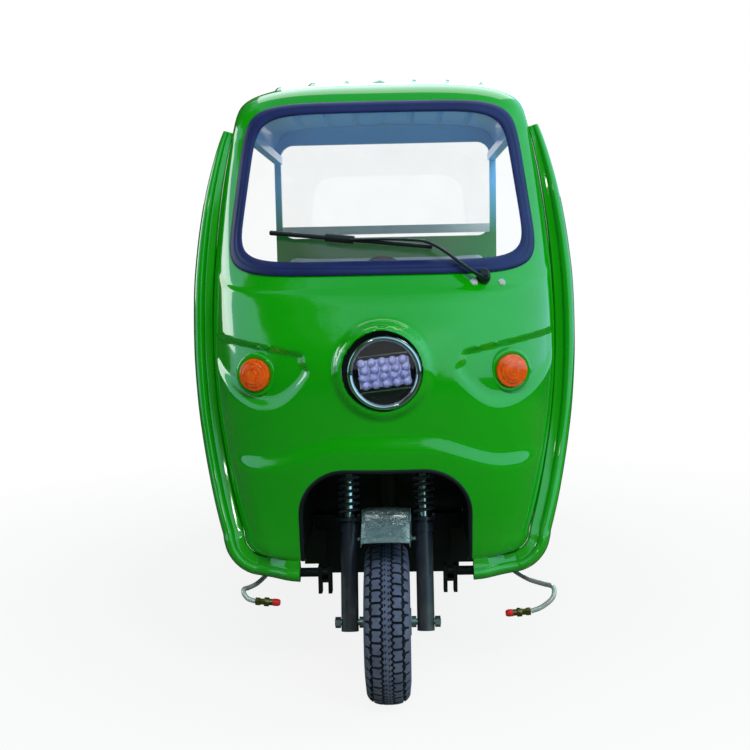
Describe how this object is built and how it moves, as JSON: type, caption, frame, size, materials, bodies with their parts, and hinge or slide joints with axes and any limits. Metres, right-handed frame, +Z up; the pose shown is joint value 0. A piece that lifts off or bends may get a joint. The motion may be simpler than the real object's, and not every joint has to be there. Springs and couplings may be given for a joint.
{
  "type": "electric garbage tricycle",
  "caption": "Electric tricycle with an open-sided rounded cab, a steered front wheel on a sprung fork and a tipping rubbish hopper with hinged lids and tailgate.",
  "frame": {"origin": "ground level, midway along the length, on the middle plane", "axes": "+X to the picture's right, -Y forward, +Z up"},
  "size_m": [1.004, 2.7999, 1.601],
  "materials": {
    "green_shell": "gloss moulded glass-fibre",
    "green_paint": "gloss paint",
    "dark_green": "satin paint",
    "frame_paint": "satin black paint",
    "black_paint": "satin black paint",
    "floor_plate": "chequer plate, dull paint",
    "black_plastic": "moulded",
    "red_plastic": "moulded",
    "clear_glass": "clear",
    "black_rubber": "moulded seal",
    "grip_rubber": "moulded grip",
    "tyre_rubber": "road tread",
    "chrome_trim": "bright",
    "steel_bright": "bright",
    "spring_steel": "black",
    "motor_alloy": "cast",
    "rim_alloy": "silver paint",
    "brass_fitting": "machined",
    "lamp_white": "clear optics",
    "amber_lens": "moulded lens",
    "red_lens": "moulded lens",
    "grey_vinyl": "vinyl cover"
  },
  "bodies": {
    "chassis": {"chassis_rails": "frame_paint", "cross_members": "frame_paint", "steering_neck": "frame_paint", "front_hangers": "black_paint", "cab_floor": "floor_plate", "bulkhead": "dark_green", "wheel_well": "black_plastic", "cowl": "green_shell", "screen_frame": "green_shell", "side_rails": "green_shell", "windscreen": "clear_glass", "windscreen_seal": "black_rubber", "roof": "green_shell", "roof_rails": "green_paint", "rear_wall": "green_paint", "rear_glass": "clear_glass", "lamp_bowl": "black_plastic", "lamp_ring": "chrome_trim", "lamp_emitters": "lamp_white", "turn_signals": "amber_lens", "wiper": "black_plastic", "seat_box": "frame_paint", "battery": "black_plastic", "seat_cushion": "grey_vinyl", "seat_back": "grey_vinyl", "brake_pedal": "black_paint", "spray_pipes": "steel_bright", "spray_fittings": "brass_fitting", "spray_tips": "red_plastic", "rear_axle": "frame_paint", "drive_motor": "motor_alloy", "leaf_springs": "spring_steel", "rear_mudguards": "black_plastic", "rear_bumper": "black_paint", "tail_lamps": "red_lens", "hopper_mounts": "frame_paint"},
    "steering": {"fork_crowns": "black_paint", "fork_sliders": "black_paint", "fork_springs": "spring_steel", "front_axle": "steel_bright", "front_mudguard": "chrome_trim", "handlebar": "black_paint", "hand_grips": "grip_rubber", "meter": "black_plastic"},
    "front_wheel": {"front_tyre": "tyre_rubber", "front_rim": "rim_alloy"},
    "rear_wheel_left": {"rear_tyre_left": "tyre_rubber", "rear_rim_left": "rim_alloy"},
    "rear_wheel_right": {"rear_tyre_right": "tyre_rubber", "rear_rim_right": "rim_alloy"},
    "hopper": {"hopper_base": "green_paint", "hopper_walls": "green_paint", "hopper_beams": "green_paint"},
    "lid_left": {"hopper_lid_left": "green_paint"},
    "lid_right": {"hopper_lid_right": "green_paint"},
    "tailgate": {"tailgate": "green_paint"},
    "ram_barrel": {"ram_barrel": "black_paint"},
    "ram_sleeve": {"ram_sleeve": "steel_bright"},
    "ram_rod": {"ram_rod": "steel_bright"}
  },
  "joints": [
    {"name": "steering", "type": "hinge", "parent": "chassis", "child": "steering", "pos_m": [0, -1.17959, 0.19616], "axis": [0, 0.2419, 0.9703], "range_deg": [-35, 35]},
    {"name": "front_wheel_spin", "type": "hinge", "parent": "steering", "child": "front_wheel", "pos_m": [0, -1.199, 0.201], "axis": [1, 0, 0], "continuous": true},
    {"name": "rear_wheel_left_spin", "type": "hinge", "parent": "chassis", "child": "rear_wheel_left", "pos_m": [-0.41, 0.731, 0.201], "axis": [1, 0, 0], "continuous": true},
    {"name": "rear_wheel_right_spin", "type": "hinge", "parent": "chassis", "child": "rear_wheel_right", "pos_m": [0.41, 0.731, 0.201], "axis": [1, 0, 0], "continuous": true},
    {"name": "hopper_tilt", "type": "hinge", "parent": "chassis", "child": "hopper", "pos_m": [0, 1.261, 0.426], "axis": [-1, 0, 0], "range_deg": [0, 40]},
    {"name": "lid_left_hinge", "type": "hinge", "parent": "hopper", "child": "lid_left", "pos_m": [-0.052, 0.661, 1.027], "axis": [0, 1, 0], "range_deg": [0, 80]},
    {"name": "lid_right_hinge", "type": "hinge", "parent": "hopper", "child": "lid_right", "pos_m": [0.052, 0.661, 1.027], "axis": [0, -1, 0], "range_deg": [0, 80]},
    {"name": "tailgate_hinge", "type": "hinge", "parent": "hopper", "child": "tailgate", "pos_m": [0, 1.339, 0.995], "axis": [1, 0, 0], "range_deg": [0, 80]},
    {"name": "ram_swing", "type": "hinge", "parent": "chassis", "child": "ram_barrel", "pos_m": [0, 0.92939, 0.20232], "axis": [-1, 0, 0], "range_deg": [0, 20]},
    {"name": "ram_sleeve_slide", "type": "slide", "parent": "ram_barrel", "child": "ram_sleeve", "axis": [0, -0.2924, 0.9563], "range_m": [0, 0.12561]},
    {"name": "ram_rod_slide", "type": "slide", "parent": "ram_sleeve", "child": "ram_rod", "axis": [0, -0.2924, 0.9563], "range_m": [0, 0.12561]}
  ],
  "couplings": [
    {"joint": "ram_swing", "follows": "hopper_tilt", "ratio": 0.5},
    {"joint": "ram_sleeve_slide", "follows": "hopper_tilt", "m_per_rad": 0.17993},
    {"joint": "ram_rod_slide", "follows": "hopper_tilt", "m_per_rad": 0.17993}
  ]
}
